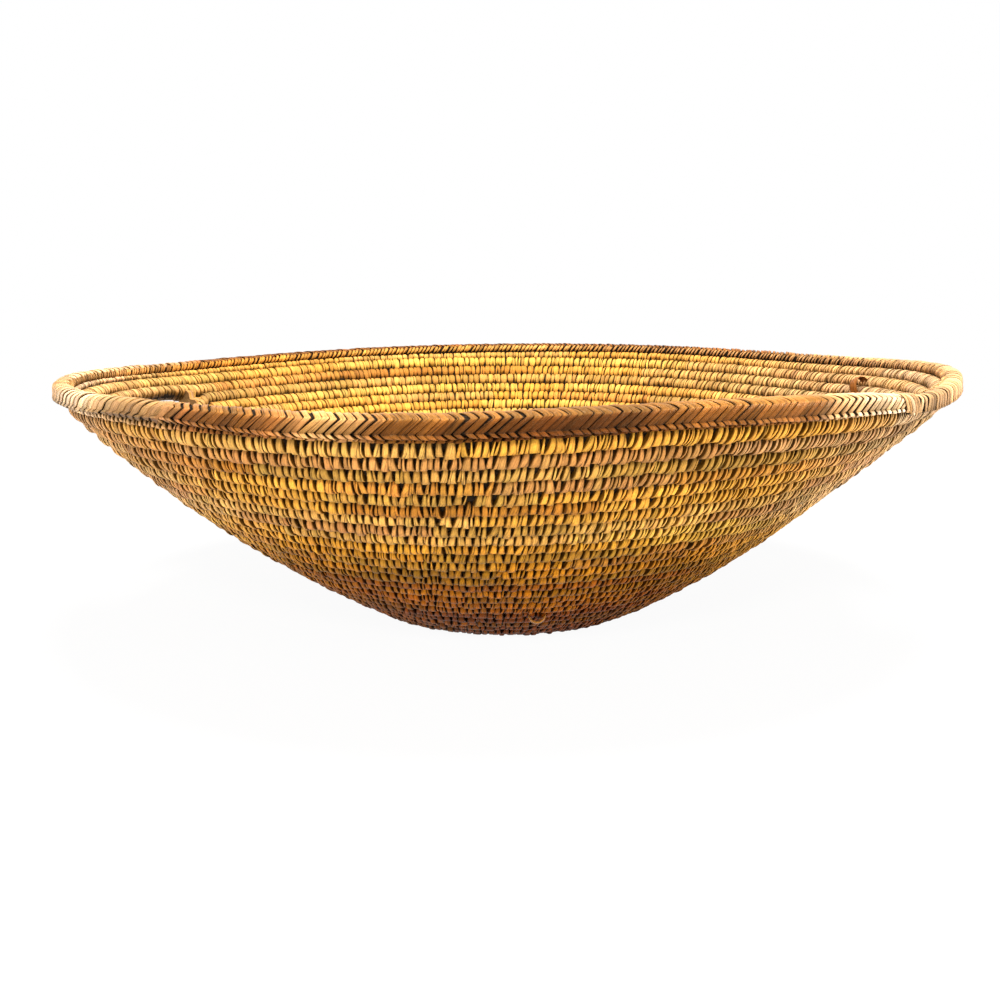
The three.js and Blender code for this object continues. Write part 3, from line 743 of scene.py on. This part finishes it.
# A rim strip's way round the rim: x, y, how far it has run along the rim, how wide it is, and its painted
# light and shade: lit at the upper fold, the top and the tab, shaded at the lower fold and the inner end.
# It starts as a small tab under the rim, folds, climbs the outside, folds again below the top and goes over.
STRIP_PATH = np.array([
    (2.4, -4.7, 2.7, 0.80, 0.40),
    (4.0, -5.0, 2.4, 0.84, 0.90),
    (5.1, -4.8, 2.0, 0.86, 1.40),
    (5.55, -4.2, 1.4, 0.86, 1.55),
    (5.55, -3.5, 0.6, 0.82, 1.10),
    (5.3, -3.1, 0.1, 0.84, 0.35),
    (5.25, -2.7, 0.45, 0.98, 0.58),
    (5.25, -1.6, 1.7, 1.00, 0.76),
    (5.25, -0.2, 3.2, 1.00, 0.84),
    (5.15, 1.1, 4.7, 1.00, 0.98),
    (4.95, 2.0, 5.8, 0.98, 1.22),
    (4.7, 2.6, 6.4, 0.94, 1.45),
    (4.35, 3.0, 6.1, 0.88, 1.15),
    (3.7, 3.6, 5.3, 0.84, 1.20),
    (2.7, 4.1, 4.4, 0.84, 1.35),
    (1.4, 4.4, 3.4, 0.84, 1.42),
    (0.0, 4.5, 2.4, 0.84, 1.45),
    (-1.5, 4.4, 1.4, 0.84, 1.40),
    (-2.8, 4.0, 0.5, 0.82, 1.25),
    (-3.7, 3.4, -0.2, 0.80, 0.90),
    (-4.1, 2.7, -0.7, 0.78, 0.45),
    (-3.4, 2.0, -1.0, 0.78, 0.20),
])
# After the braid's end and along the left side the rim is wrapped plainly, in one direction
PLAIN_PATH = STRIP_PATH.copy()
PLAIN_PATH[:, 2] = np.linspace(-2.4, 3.4, len(STRIP_PATH))
# Painted light and shade on the plain wraps: darker low on the outside, lighter towards the top
PLAIN_PATH[:, 4] = np.interp(STRIP_PATH[:, 1], (-5.0, -4.0, -1.0, 3.0, 5.0), (0.35, 0.7, 0.95, 1.12, 1.2))
LEFT_PATH = PLAIN_PATH.copy()
# The left wraps get brighter painted highlights
LEFT_PATH[:, 4] *= 1.22
LEFT_PATH[:, 2] = np.interp(np.arange(len(STRIP_PATH)), (0, 11, len(STRIP_PATH) - 1), (-5.0, 5.5, 10.0))
PLAIN_END = math.radians(14)
LEFT_PLAIN_START = math.radians(148)
LEFT_PLAIN_END = math.radians(234)
# The braid's first strips lie under the foot of the last wraps
BRAID_TUCK = math.radians(1.7)
# Inside the bowl the rim is sewn to the coil with its own row of slanting stitches
# Its columns are those of the rim strips; the last is painted light and shade, darker at its tucked ends
INNER_PATH = np.array([
    (-2.6, 3.7, -0.2, 0.60, 0.30),
    (-3.9, 3.3, 0.2, 0.80, 0.75),
    (-4.8, 2.4, 0.8, 0.98, 1.05),
    (-5.1, 1.3, 1.5, 1.04, 1.08),
    (-5.1, 0.3, 2.2, 0.92, 0.95),
    (-4.7, -0.5, 2.8, 0.70, 0.65),
    (-3.9, -0.9, 3.1, 0.56, 0.25),
])
INNER_PITCH = 3.1
INNER_PLACE_SPREAD = 0.13
INNER_WIDTH_SPREAD = 0.16
INNER_WIDTH_LIMITS = (0.6, 1.4)
INNER_COVER = [
    (-180, 0.8), (-30, 0.7), (0, 0.52), (20, 0.45), (62, 0.5), (80, 0.8), (150, 0.95), (180, 0.8),
]
# The strips' spacing along the rim and how much of it they cover
RIM_WEAVE = [
    (-180, 6.6, 1.04), (-166, 6.6, 1.04), (-126, 5.6, 1.03), (-119, 3.7, 1.04), (-80, 3.5, 1.02),
    (-64, 3.4, 0.94), (-58, 4.2, 0.72), (-45, 4.6, 0.66), (-44, 4.0, 0.52), (-30, 4.8, 0.60),
    (-14, 6.4, 0.72), (12, 5.8, 0.80), (40, 3.2, 0.92), (60, 3.2, 0.96), (140, 3.6, 0.98),
    (152, 5.6, 1.02), (180, 6.6, 1.04),
]
STRIP_SPACING_SPREAD = 0.13
STRIP_WIDTH_SPREAD = 0.12
STRIP_WIDTH_LIMITS = (0.75, 1.3)
# Each strip slants, lifts off the rim and lies higher or lower in its own way
STRIP_SLANT = 0.07
STRIP_SLANT_PIVOT = -1
STRIP_LIFT_SPREAD = 0.09
STRIP_LIFT_LIMITS = (-0.2, 0.2)
STRIP_HEIGHT_SPREAD = 0.14
STRIP_HEIGHT_LIMITS = (-0.3, 0.3)
# Painted highlight: on the near side the top of each rim strip is blended towards a lighter gold
TOP_HIGHLIGHT_SHARE = 0.2
TOP_HIGHLIGHT_FROM = 1.9
TOP_HIGHLIGHT_HEIGHT = 1.0
# Across a strip: edge, flat top, edge and underside, with how far each stands off the path and its painted
# shade, darkest at the edges and underside
STRIP_LIFT = np.array([-0.12, 0.12, 0.40, 0.22, -0.55, -0.55])
STRIP_SHADE = np.array([0.28, 0.94, 1.08, 0.34, 0.08, 0.08])
STRIP_FLAT_SHARE = 0.72
STRIP_UNDER_SHARE = 0.9
INNER_FLAT_SHARE = 0.6
# How strongly painted shade darkens the edges of the plain wraps and of the left wraps
PLAIN_EDGE = 1.3
LEFT_EDGE = 0.35
# How much the strips differ from one another round the basket
RIM_CONTRAST = [
    (-180, 1.5), (-130, 1.2), (-110, 1.0), (-62, 1.0), (-56, 1.9), (20, 1.9), (50, 1.0), (150, 1.0),
    (180, 1.5),
]
SLOW_TONE_STRIPS = 7
SLOW_TONE = 0.17
STRIP_TONE = 0.14
STRIP_HUE_SPREAD = 0.02


def strip_across(flat_share):
    """Places across a strip, as shares of half its width."""
    return np.array([-1.0, -flat_share, flat_share, 1.0, STRIP_UNDER_SHARE, -STRIP_UNDER_SHARE])


def off_path(path, lift):
    """x and y of places that are lifted outward off a path in the rim's section."""
    run = np.gradient(path[:, :2], axis=0)
    normal = np.stack([run[:, 1], -run[:, 0]], -1)
    normal = normal / np.linalg.norm(normal, axis=1, keepdims=True)
    x, y = path[:, 0], path[:, 1]
    return by_station(x) + by_station(normal[:, 0]) * lift, by_station(y) + by_station(normal[:, 1]) * lift


def rim_strips(name, angles, widths, path, tints, material, flat_share=STRIP_FLAT_SHARE, edge=1.0):
    count = len(angles)
    _, y, along, wide, light = path.T
    half = by_strip(widths) * by_station(wide) / 2
    slant = rng.normal(0, STRIP_SLANT, (count, 1, 1)) * (by_station(y) - STRIP_SLANT_PIVOT)
    sideways = by_station(along) + by_place(strip_across(flat_share)) * half + slant
    own_lift = rng.normal(0, STRIP_LIFT_SPREAD, (count, 1, 1)).clip(*STRIP_LIFT_LIMITS)
    section_x, section_y = off_path(path, by_place(STRIP_LIFT) + own_lift)
    section_y = section_y + rng.normal(0, STRIP_HEIGHT_SPREAD, (count, 1, 1)).clip(*STRIP_HEIGHT_LIMITS)
    angle = by_strip(angles) + sideways / RIM_RADIUS
    points = rim_points(section_x, section_y, angle, by_strip(turn_share(angles)))
    # Painted shade on the strips' edges and underside, and painted light and shade along each strip
    shade = (by_place(STRIP_SHADE) ** edge * by_station(light))[..., None]
    top_highlight = TOP_HIGHLIGHT_SHARE * by_station(np.clip((y - TOP_HIGHLIGHT_FROM) / TOP_HIGHLIGHT_HEIGHT, 0, 1))
    top_highlight = (top_highlight * by_strip(np.sin(angles) < 0))[..., None]
    tints = tints[:, None, None, :] * (1 - top_highlight) + linear("straw") * top_highlight
    tints = tints * shade**SHADE_WARMTH
    return strips_mesh(name, points, tints, fibre_places(points), material, closed_round=False)


def rim_tints(angles, table):
    """The splints darken and lighten slowly along the rim, and a little from strip to strip."""
    tints = rim_colour(angles, table)
    count = len(angles)
    slow_at = np.arange(0, count, SLOW_TONE_STRIPS)
    slow = np.exp(np.interp(np.arange(count), slow_at, rng.normal(0, SLOW_TONE, len(slow_at))))
    own = np.exp(rng.normal(0, STRIP_TONE, count) * from_table(RIM_CONTRAST, angles))
    return tints * (slow * own)[:, None] * rng.normal(1, STRIP_HUE_SPREAD, (count, 3))


def strip_angles(first, last):
    angles = []
    angle = first
    while angle < last:
        step = from_table(RIM_WEAVE, angle, 1) * rng.normal(1, STRIP_SPACING_SPREAD) / RIM_RADIUS
        angles.append(angle + step / 2)
        angle += step
    return np.array(angles)


def rim_braid():
    """The braid and, where it doesn't run, the plain wraps after its end and along the left side."""
    after_plain = strip_angles(PLAIN_END, LEFT_PLAIN_START)
    after_left = strip_angles(LEFT_PLAIN_END - BRAID_TUCK, COIL_END_ANGLE + FULL_TURN)
    plain = strip_angles(COIL_END_ANGLE, PLAIN_END)
    left = strip_angles(LEFT_PLAIN_START, LEFT_PLAIN_END)
    for name, at, path, edge in (
        ("rim_strips", np.concatenate([after_plain, after_left]), STRIP_PATH, 1.0),
        ("rim_plain_wraps", plain, PLAIN_PATH, PLAIN_EDGE),
        ("rim_left_wraps", left, LEFT_PATH, LEFT_EDGE),
    ):
        covered = from_table(RIM_WEAVE, at, 1) * from_table(RIM_WEAVE, at, 2)
        widths = covered * rng.normal(1, STRIP_WIDTH_SPREAD, len(at)).clip(*STRIP_WIDTH_LIMITS)
        piece = rim_strips(name, at, widths, path, rim_tints(at, RIM_COLOURS), rim_splint, edge=edge)
        if name == "rim_strips":
            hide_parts("rim_braid")


def rim_inner_row():
    count = int(FULL_TURN * RIM_RADIUS / INNER_PITCH)
    places = np.arange(count) + 0.5 + rng.normal(0, INNER_PLACE_SPREAD, count)
    at = COIL_END_ANGLE + places * FULL_TURN / count
    widths = INNER_PITCH * from_table(INNER_COVER, at)
    widths = widths * rng.normal(1, INNER_WIDTH_SPREAD, count).clip(*INNER_WIDTH_LIMITS)
    tints = rim_tints(at, INNER_COLOURS)
    piece = rim_strips("rim_inner_stitches", at, widths, INNER_PATH, tints, splint, INNER_FLAT_SHARE)


# The rim's grass: x and y round the bundle. Its two ends run a little past each other.
RIM_CORE_LOOP = np.array([
    (4.0, -3.9), (4.6, -2.0), (4.4, 2.0), (2.9, 3.6), (-2.4, 3.6), (-4.2, 2.0), (-4.3, 0.6), (-2.9, -2.6),
    (-0.8, -4.6),
])
RIM_CORE_STEPS = 240
RIM_CORE_OVERLAP = 0.003


def rim_core():
    share = np.linspace(-RIM_CORE_OVERLAP, 1 + RIM_CORE_OVERLAP, RIM_CORE_STEPS)[:, None]
    x, y = RIM_CORE_LOOP.T
    points = rim_points(x[None, :], y[None, :], COIL_END_ANGLE + share * FULL_TURN, share)[None]
    piece = grass_mesh("rim_grass", points)
    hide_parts("rim_coil")


rim_braid()
rim_inner_row()
rim_core()

# The saddle of plain splints over the meeting ends of the braid: x, y and how far it has run along the rim
WRAP_PATH = np.array([
    (5.4, -4.8, 2.8), (6.3, -3.0, 2.3), (6.5, -0.8, 1.5), (6.3, 1.8, 0.6), (5.6, 3.8, -0.1),
    (4.2, 5.1, -0.6), (1.6, 5.8, -0.9), (-1.6, 5.8, -1.1), (-4.2, 5.1, -1.3), (-5.6, 3.6, -1.4),
    (-6.2, 1.8, -1.5), (-6.0, 0.6, -1.6), (-5.2, 0.0, -1.8),
])
WRAP_COLOURS = ("pale", "tan", "cream", "sand", "pale")
WRAP_WIDTHS = np.array([0.9, 0.62, 0.86, 0.6, 0.8])
# It lies halfway between the heights of the two ends
WRAP_LIFT_SHARE = 0.5


def rim_binding():
    count = len(WRAP_COLOURS)
    pitch = BINDING_LENGTH / count
    angles = COIL_END_ANGLE + (np.arange(count) - (count - 1) / 2) * pitch / RIM_RADIUS
    half = by_place(strip_across(STRIP_FLAT_SHARE)) * by_strip(pitch * WRAP_WIDTHS) / 2
    angle = by_strip(angles) + (by_station(WRAP_PATH[:, 2]) + half) / RIM_RADIUS
    section_x, section_y = off_path(WRAP_PATH, by_place(STRIP_LIFT))
    points = rim_points(section_x, section_y, angle, WRAP_LIFT_SHARE)
    tints = np.array([linear(colour) for colour in WRAP_COLOURS])[:, None, None, :]
    tints = tints * by_place(STRIP_SHADE)[..., None]
    piece = strips_mesh("rim_end_wraps", points, tints, fibre_places(points), rim_splint, closed_round=False)
    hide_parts("rim_end_binding")


rim_binding()

# Lashings: a few turns of splint round both coils at each end of a slot, drawn in at their waist
LASHING_COLOURS = ("tan", "straw", "sand", "tan", "straw")
LASHING_STATIONS = 20
LASHING_OVERLAP = 2.2
LASHING_PROUD = 1.2
LASHING_CROWN = 0.3
LASHING_SQUARENESS = 0.6
LASHING_PINCH = 0.66
LASHING_WAIST = 0.2
LASHING_WAIST_POWER = 1.5
LASHING_HALF_WIDTHS = (0.4, 0.54)
LASHING_SLANTS = (0.2, 1.1)
# Painted shade on the edges of each wrap
LASHING_SHADE = np.array([0.3, 1.0, 1.0, 0.3])


def squarish(wave):
    return np.sign(wave) * np.abs(wave) ** LASHING_SQUARENESS


def lashing(name, slot_angle, side):
    middle_turn = SLOT_TURN + turn_share(slot_angle)
    inner = float(coil_edges(middle_turn, middle_turn)[0])
    radius = float(profile(inner)[0])
    count = len(LASHING_COLOURS)
    middle = SLOT_LENGTH / 2 - LASHING_FROM_END - LASHING_LENGTH / 2
    pitch = LASHING_LENGTH / count
    offsets = by_strip(np.arange(count) - (count - 1) / 2) * pitch
    theta = by_station(np.linspace(0, FULL_TURN, LASHING_STATIONS, endpoint=False))
    upward, inward = squarish(np.cos(theta)), squarish(np.sin(theta))
    across = by_place(ACROSS) * pitch * rng.uniform(*LASHING_HALF_WIDTHS, (count, 1, 1))
    slant = rng.uniform(*LASHING_SLANTS, (count, 1, 1)) * np.sin(theta)
    waist = 1 - LASHING_WAIST * (1 - np.abs(upward)) ** LASHING_WAIST_POWER
    along = middle + offsets * waist + across * waist + slant
    turn = middle_turn + side * along / (FULL_TURN * radius)
    upper = coil_edges(turn, turn)[0]
    lower = coil_edges(turn - 1, turn - 1)[1]
    crown = LASHING_CROWN * by_place(CROWN)
    half_s = (upper - lower) / 2 + LASHING_OVERLAP
    s = (upper + lower) / 2 + (half_s + crown) * upward
    pinch = 1 - LASHING_PINCH * (1 - np.abs(upward)) ** 2
    n = (WALL_THICKNESS / 2 + LASHING_PROUD + crown) * (inward * pinch)
    points = place(s, n, angle_of_turn(turn))
    tints = np.array([linear(colour) for colour in LASHING_COLOURS])[:, None, None, :]
    tints = tints * by_place(LASHING_SHADE)[..., None]
    piece = strips_mesh(name + "_wraps", points, tints, fibre_places(points), splint)
    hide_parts(name)


for slot_name, slot_angle in (("left", LEFT_SLOT_ANGLE), ("right", RIGHT_SLOT_ANGLE)):
    towards_front = 1 if slot_name == "left" else -1
    lashing(slot_name + "_slot_front_lashing", slot_angle, towards_front)
    lashing(slot_name + "_slot_back_lashing", slot_angle, -towards_front)

# Two splints that have sprung loose and stand off the wall, leaning as they do in the photograph
CURL_SEEN_RADIUS = 7.0
CURL_SEEN_LEAN = math.radians(20)
LOOP_SEEN_ANGLE = math.radians(-82.8)
LOOP_SEEN_LEAN = math.radians(84)
ARCH_STATIONS = 22
ARCH_SEAT_GAP = 0.3
# How much a curled end winds inward
ARCH_CLOSING = 0.7
# Across the splint: shares of half its width, how far below its top, and its painted shade
ARCH_ACROSS = np.array([-1, -0.5, 0.5, 1, 0.6, -0.6])
ARCH_RISE = np.array([-0.35, 0, 0, -0.35, -0.9, -0.9])
ARCH_SHADE = np.array([0.8, 1, 1, 0.8, 0.5, 0.5])


def turn_below_rim(angle, turns):
    return math.floor(COIL_TURNS - turns) + turn_share(angle)


def sprung_splint(name, node, turn, radius, side, lean, shift, curl, width, colour):
    """An arch that stands on the wall: side is 1 inside and -1 outside, and curl is how far it goes on."""
    angle = angle_of_turn(turn)
    low, high = coil_edges(turn, turn)
    middle = float(low + high) / 2 + shift
    foot = place(middle, side * (WALL_THICKNESS / 2 + ARCH_SEAT_GAP), angle)
    slope = float(profile(middle)[2])
    around = np.array([-math.sin(angle), math.cos(angle), 0])
    radial = np.array([math.cos(angle), math.sin(angle), 0])
    up = np.array([0, 0, 1.0])
    along = radial * math.cos(slope) + up * math.sin(slope)
    off = side * (up * math.cos(slope) - radial * math.sin(slope))
    run = along * math.cos(lean) + around * math.sin(lean)
    across = np.cross(run, off)
    phi = np.linspace(0, math.pi * (1 + curl), ARCH_STATIONS)[:, None, None]
    inward = 1 - ARCH_CLOSING * curl * (phi / math.pi) ** 2
    outward = -np.cos(phi) * run + np.sin(phi) * off
    reach = radius + by_station(ARCH_RISE)
    points = (foot + outward * reach * inward + across * by_station(ARCH_ACROSS) * width / 2)[None]
    tints = linear(colour) * by_place(ARCH_SHADE)[..., None]
    piece = strips_mesh(name, points, tints, fibre_places(points), rim_splint, closed_round=False)
    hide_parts(node)


sprung_splint(
    "curled_splint",
    "loose_splint_curl",
    turn_below_rim(CURL_ANGLE, CURL_TURNS_BELOW_RIM),
    CURL_SEEN_RADIUS,
    side=1,
    lean=CURL_SEEN_LEAN,
    shift=3.0,
    curl=0.45,
    width=6.4,
    colour="russet",
)
sprung_splint(
    "raised_splint",
    "raised_splint_loop",
    turn_below_rim(LOOP_SEEN_ANGLE, LOOP_TURNS_BELOW_RIM),
    LOOP_RADIUS,
    side=-1,
    lean=LOOP_SEEN_LEAN,
    shift=0,
    curl=0,
    width=4.4,
    colour="amber",
)


def camera_from_front():
    data = bpy.data.cameras.new("camera")
    data.sensor_width = SENSOR_WIDTH
    data.lens = FOCAL_PIXELS / PICTURE_PIXELS * SENSOR_WIDTH
    camera = bpy.data.objects.new("camera", data)
    bpy.context.scene.collection.objects.link(camera)
    aim = Vector(CAMERA_AIM) * METRES
    back = Vector((0, -math.cos(CAMERA_ELEVATION), math.sin(CAMERA_ELEVATION)))
    camera.location = aim + back * CAMERA_DISTANCE * METRES
    camera.rotation_mode = "QUATERNION"
    camera.rotation_quaternion = (-back).to_track_quat("-Z", "Y") @ Quaternion((0, 0, 1), CAMERA_ROLL)
    bpy.context.scene.camera = camera


camera_from_front()

# Floor, soft lights and a white background, in metres
FLOOR_RADIUS = 1.5
FLOOR_SOLID_RADIUS = 0.5
FLOOR_STEPS = 64
FLOOR_COLOUR = (0.8, 0.8, 0.79, 1)
FLOOR_WHITENING = 0.95
ROOM_LIGHT = 0.52


def background_rays(tree):
    """One for the rays that see the background: straight from the camera, mirrored or let through."""
    rays = new_node(tree, "ShaderNodeLightPath")
    mirrored = new_node(tree, "ShaderNodeMath", operation="MAXIMUM")
    tree.links.new(rays.outputs["Is Camera Ray"], mirrored.inputs[0])
    tree.links.new(rays.outputs["Is Glossy Ray"], mirrored.inputs[1])
    every = new_node(tree, "ShaderNodeMath", operation="MAXIMUM")
    tree.links.new(mirrored.outputs[0], every.inputs[0])
    tree.links.new(rays.outputs["Is Transmission Ray"], every.inputs[1])
    return every.outputs[0]


def mixed(tree, share, first, second):
    mix = new_node(tree, "ShaderNodeMixShader")
    tree.links.new(share, mix.inputs["Fac"])
    tree.links.new(first.outputs[0], mix.inputs[1])
    tree.links.new(second.outputs[0], mix.inputs[2])
    return mix


def floor_material():
    """Pale where it catches the shadow, whitened for the rays that see the background, clear at its edge."""
    material = bpy.data.materials.new("pale_floor")
    material.use_nodes = True
    tree = material.node_tree
    tree.nodes.clear()
    diffuse = new_node(tree, "ShaderNodeBsdfDiffuse")
    diffuse.inputs["Color"].default_value = FLOOR_COLOUR
    seen_share = new_node(tree, "ShaderNodeMath", operation="MULTIPLY")
    seen_share.inputs[1].default_value = FLOOR_WHITENING
    tree.links.new(background_rays(tree), seen_share.inputs[0])
    paled = mixed(tree, seen_share.outputs[0], diffuse, new_node(tree, "ShaderNodeEmission"))
    length = new_node(tree, "ShaderNodeVectorMath", operation="LENGTH")
    tree.links.new(new_node(tree, "ShaderNodeTexCoord").outputs["Object"], length.inputs[0])
    spread = new_node(tree, "ShaderNodeMapRange")
    spread.inputs["From Min"].default_value = FLOOR_SOLID_RADIUS
    spread.inputs["From Max"].default_value = FLOOR_RADIUS
    tree.links.new(length.outputs["Value"], spread.inputs["Value"])
    fade = mixed(tree, spread.outputs["Result"], paled, new_node(tree, "ShaderNodeBsdfTransparent"))
    output = new_node(tree, "ShaderNodeOutputMaterial")
    tree.links.new(fade.outputs[0], output.inputs["Surface"])
    return material


def floor():
    angles = [FULL_TURN * i / FLOOR_STEPS for i in range(FLOOR_STEPS)]
    ring = [(FLOOR_RADIUS * math.cos(angle), FLOOR_RADIUS * math.sin(angle), 0) for angle in angles]
    mesh = bpy.data.meshes.new("floor")
    mesh.from_pydata(ring, [], [list(range(FLOOR_STEPS))])
    mesh.materials.append(floor_material())
    plane = bpy.data.objects.new("floor", mesh)
    bpy.context.scene.collection.objects.link(plane)


floor()


def area_light(name, position, target, size, watts, colour):
    data = bpy.data.lights.new(name, "AREA")
    data.shape = "DISK"
    data.size = size
    data.energy = watts
    data.color = colour
    lamp = bpy.data.objects.new(name, data)
    lamp.location = position
    lamp.rotation_mode = "QUATERNION"
    lamp.rotation_quaternion = (Vector(target) - Vector(position)).to_track_quat("-Z", "Y")
    bpy.context.scene.collection.objects.link(lamp)


area_light("top_light", (0.15, -0.15, 1.9), (0, 0, 0.05), 0.7, 64, (1, 0.985, 0.96))
area_light("front_light", (-0.1, -2.0, 1.2), (0, 0, 0.08), 0.35, 38, (1, 0.975, 0.94))
area_light("right_light", (1.7, -0.7, 0.4), (0.2, 0, 0.08), 0.4, 17, (1, 0.98, 0.95))
area_light("left_light", (-1.7, -0.6, 0.4), (-0.2, 0, 0.08), 0.4, 9, (1, 0.98, 0.95))


def white_room():
    """White for the rays that see the background, and a softer light from all round for the basket."""
    world = bpy.data.worlds.new("white_room")
    world.use_nodes = True
    tree = world.node_tree
    tree.nodes.clear()
    seen = new_node(tree, "ShaderNodeBackground")
    seen.inputs["Color"].default_value = (1, 1, 1, 1)
    lit = new_node(tree, "ShaderNodeBackground")
    lit.inputs["Color"].default_value = (1, 1, 1, 1)
    lit.inputs["Strength"].default_value = ROOM_LIGHT
    output = new_node(tree, "ShaderNodeOutputWorld")
    mix = mixed(tree, background_rays(tree), lit, seen)
    tree.links.new(mix.outputs[0], output.inputs["Surface"])
    bpy.context.scene.world = world


white_room()
bpy.context.scene.view_settings.view_transform = "Standard"
